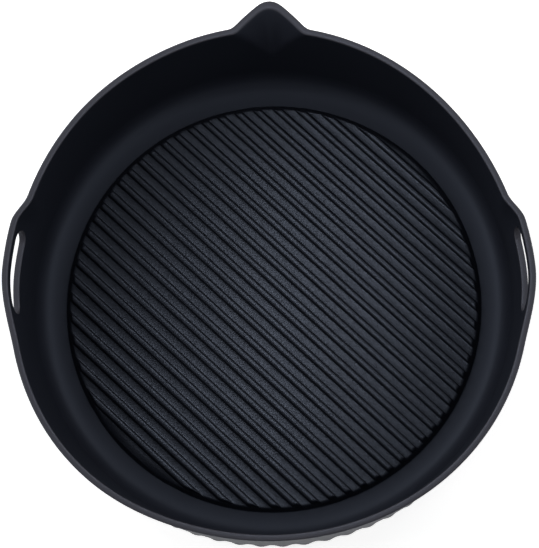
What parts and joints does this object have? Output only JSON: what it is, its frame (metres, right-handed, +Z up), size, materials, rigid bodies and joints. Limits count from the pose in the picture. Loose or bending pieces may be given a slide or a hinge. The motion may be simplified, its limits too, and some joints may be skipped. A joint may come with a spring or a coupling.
{
  "type": "air fryer liner",
  "caption": "Round moulded silicone liner for an air fryer basket, with a diagonally ribbed floor, a pouring spout, slotted side handles and a fluted base corner.",
  "frame": {"origin": "centre of the flat underside, on the surface that the liner stands on", "axes": "+Z up through the open mouth, +Y towards the pouring spout, a handle at each end of X"},
  "size_m": [0.2141, 0.2214, 0.05],
  "materials": {
    "silicone": "satin black moulded silicone"
  },
  "bodies": {
    "root": {"liner": "silicone"}
  },
  "joints": []
}
